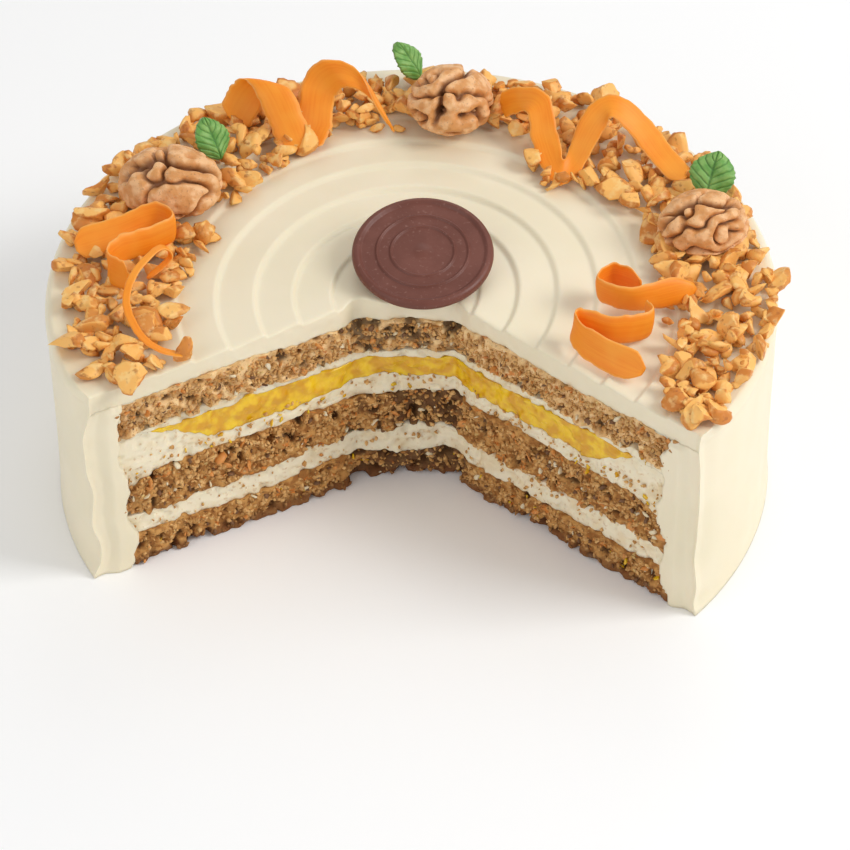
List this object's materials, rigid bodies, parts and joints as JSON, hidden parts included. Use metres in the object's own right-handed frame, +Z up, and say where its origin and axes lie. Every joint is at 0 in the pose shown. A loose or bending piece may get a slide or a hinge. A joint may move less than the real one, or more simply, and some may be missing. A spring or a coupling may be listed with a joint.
{
  "type": "carrot cake",
  "caption": "Round layered carrot cake with a wedge cut out, smooth cream frosting, chocolate disc, walnuts, leaves and carrot ribbons.",
  "frame": {"origin": "middle of the round base, on the surface the cake stands on, on the axis of the round side", "axes": "+Z up along the axis of the cake, the missing wedge opens towards -Y"},
  "size_m": [0.2231, 0.1818, 0.0951],
  "materials": {
    "frosting": "smooth pale cream frosting, soft satin",
    "cream": "soft cream filling, moist satin",
    "sponge": "crumbly carrot sponge, dull",
    "curd": "moist yellow fruit curd, glossy",
    "chocolate": "moulded dark milk chocolate, soft satin gloss",
    "walnut": "bare walnut kernel, matt to satin",
    "leaf": "green moulded leaf, matt",
    "carrot": "fresh carrot peel, moist satin"
  },
  "bodies": {
    "root": {"frosting": "frosting", "sponge_bottom": "sponge", "sponge_middle": "sponge", "sponge_top": "sponge", "cream_lower": "cream", "cream_middle": "cream", "cream_thin": "cream", "curd": "curd", "chocolate_disc": "chocolate", "walnut_half_1": "walnut", "walnut_half_2": "walnut", "walnut_half_3": "walnut", "walnut_piece_01": "walnut", "walnut_piece_02": "walnut", "walnut_piece_03": "walnut", "walnut_piece_04": "walnut", "walnut_piece_05": "walnut", "walnut_piece_06": "walnut", "walnut_piece_07": "walnut", "walnut_piece_08": "walnut", "walnut_piece_09": "walnut", "walnut_piece_10": "walnut", "walnut_piece_11": "walnut", "walnut_piece_12": "walnut", "walnut_piece_13": "walnut", "walnut_piece_14": "walnut", "walnut_piece_15": "walnut", "walnut_piece_16": "walnut", "leaf_1": "leaf", "leaf_2": "leaf", "leaf_3": "leaf", "carrot_ribbon_1": "carrot", "carrot_ribbon_2": "carrot", "carrot_ribbon_3": "carrot", "carrot_ribbon_4": "carrot", "carrot_ribbon_5": "carrot", "carrot_ribbon_6": "carrot"}
  },
  "joints": []
}
